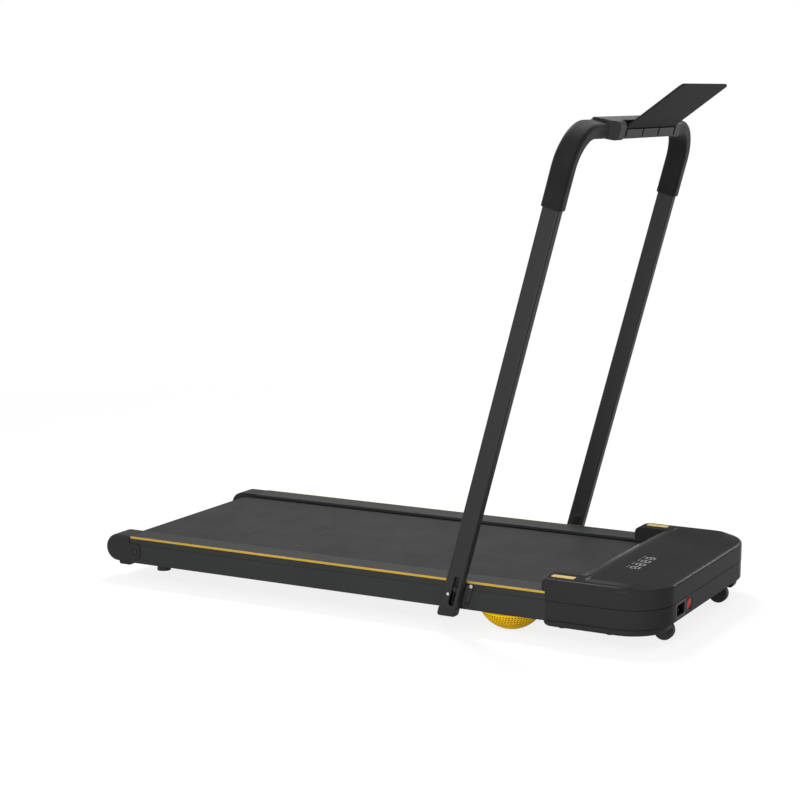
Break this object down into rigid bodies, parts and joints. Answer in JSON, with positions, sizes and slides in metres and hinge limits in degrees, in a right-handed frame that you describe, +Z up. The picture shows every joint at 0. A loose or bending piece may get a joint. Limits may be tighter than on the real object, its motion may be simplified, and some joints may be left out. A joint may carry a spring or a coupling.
{
  "type": "walking pad",
  "caption": "Flat motorised walking pad with a folding bow handrail, tablet plate, front motor hood, side rails with trim strips and soft dome supports.",
  "frame": {"origin": "on the floor, below the middle of the machine's length and width", "axes": "+X the walking direction towards the motor hood, +Y the walker's left, +Z up"},
  "size_m": [1.212, 0.594, 1.0097],
  "materials": {
    "frame_steel": "black powder coat",
    "rail_coat": "satin black anodised profile",
    "handrail_coat": "satin black powder coat",
    "black_plastic": "fine moulded grain",
    "console_plastic": "fine moulded grain",
    "yellow_trim": "satin yellow",
    "yellow_rubber": "dimpled soft rubber",
    "belt_rubber": "woven PVC running surface",
    "black_rubber": "soft black rubber",
    "foam": "matt closed cell foam",
    "deck_wood": "waxed fibre board",
    "bright_steel": "zinc plated",
    "motor_metal": "cast and machined",
    "board_green": "solder resist",
    "window_smoke": "smoked window",
    "switch_red": "red rocker",
    "pin_brass": "plated"
  },
  "bodies": {
    "base": {"frame_tubes": "frame_steel", "frame_cross_members": "frame_steel", "belly_straps": "frame_steel", "front_base_plate": "frame_steel", "motor_cradle": "frame_steel", "wheel_brackets": "frame_steel", "pivot_brackets": "frame_steel", "side_rail_left": "rail_coat", "side_rail_right": "rail_coat", "rear_cap_left": "black_plastic", "rear_cap_right": "black_plastic", "hood_cover": "black_plastic", "lower_case": "black_plastic", "belly_pan": "black_plastic", "power_inlet": "black_plastic", "switch_bezel": "black_plastic", "rail_trim_strips": "yellow_trim", "hood_pads": "yellow_trim", "dome_left": "yellow_rubber", "dome_right": "yellow_rubber", "walking_belt": "belt_rubber", "deck_cushions": "black_rubber", "rear_feet": "black_rubber", "drive_belt": "black_rubber", "deck_board": "deck_wood", "deck_screws": "bright_steel", "front_roller_axle": "bright_steel", "rear_roller_axle": "bright_steel", "belt_tension_bolts": "bright_steel", "rear_cap_screws": "bright_steel", "belly_pan_screws": "bright_steel", "wheel_axles": "bright_steel", "pivot_bolts": "bright_steel", "motor_can": "motor_metal", "control_board": "board_green", "display_board": "board_green", "board_spacers": "board_green", "display_window": "window_smoke", "inlet_pins": "pin_brass"},
    "handrail_pivot": {"pivot_blocks": "black_plastic"},
    "handrail": {"post_left": "handrail_coat", "post_right": "handrail_coat", "handlebar_bow": "handrail_coat", "foam_grip_left": "foam", "foam_grip_right": "foam", "post_end_plugs": "black_plastic", "post_rivets": "bright_steel", "console_front_half": "console_plastic", "console_rear_half": "console_plastic"},
    "tablet_holder": {"tablet_plate": "console_plastic"},
    "switch_rocker": {"power_switch": "switch_red"},
    "wheel_left": {"front_wheel_left": "black_rubber"},
    "wheel_right": {"front_wheel_right": "black_rubber"},
    "front_drum": {"front_roller": "bright_steel", "front_roller_bearings": "bright_steel", "roller_pulley": "motor_metal"},
    "rear_drum": {"rear_roller": "bright_steel", "rear_roller_bearings": "bright_steel"},
    "motor_rotor": {"motor_armature": "bright_steel", "motor_pulley": "motor_metal"}
  },
  "joints": [
    {"name": "handrail_fold", "type": "hinge", "parent": "base", "child": "handrail_pivot", "pos_m": [0.21572, 0, 0.08223], "axis": [0, -1, 0], "range_deg": [0, 105]},
    {"name": "handrail_lift", "type": "slide", "parent": "handrail_pivot", "child": "handrail", "axis": [0.2588, 0, 0.9659], "range_m": [0, 0.028]},
    {"name": "tablet_fold", "type": "hinge", "parent": "handrail", "child": "tablet_holder", "pos_m": [0.45914, 0, 0.9223], "axis": [0, -1, 0], "range_deg": [0, 39]},
    {"name": "power_rocker", "type": "hinge", "parent": "base", "child": "switch_rocker", "pos_m": [0.5988, -0.101, 0.061], "axis": [0, -1, 0], "range_deg": [0, 14]},
    {"name": "wheel_left_spin", "type": "hinge", "parent": "base", "child": "wheel_left", "pos_m": [0.576, 0.15, 0.019], "axis": [0, 1, 0], "continuous": true},
    {"name": "wheel_right_spin", "type": "hinge", "parent": "base", "child": "wheel_right", "pos_m": [0.576, -0.15, 0.019], "axis": [0, 1, 0], "continuous": true},
    {"name": "motor_spin", "type": "hinge", "parent": "base", "child": "motor_rotor", "pos_m": [0.535, 0.1, 0.078], "axis": [0, 1, 0], "continuous": true},
    {"name": "front_drum_spin", "type": "hinge", "parent": "base", "child": "front_drum", "pos_m": [0.428, 0, 0.0647], "axis": [0, 1, 0], "continuous": true},
    {"name": "rear_drum_spin", "type": "hinge", "parent": "base", "child": "rear_drum", "pos_m": [-0.565, 0, 0.0647], "axis": [0, 1, 0], "continuous": true}
  ],
  "couplings": [
    {"joint": "front_drum_spin", "follows": "motor_spin", "ratio": 0.46154},
    {"joint": "rear_drum_spin", "follows": "motor_spin", "ratio": 0.46154}
  ]
}
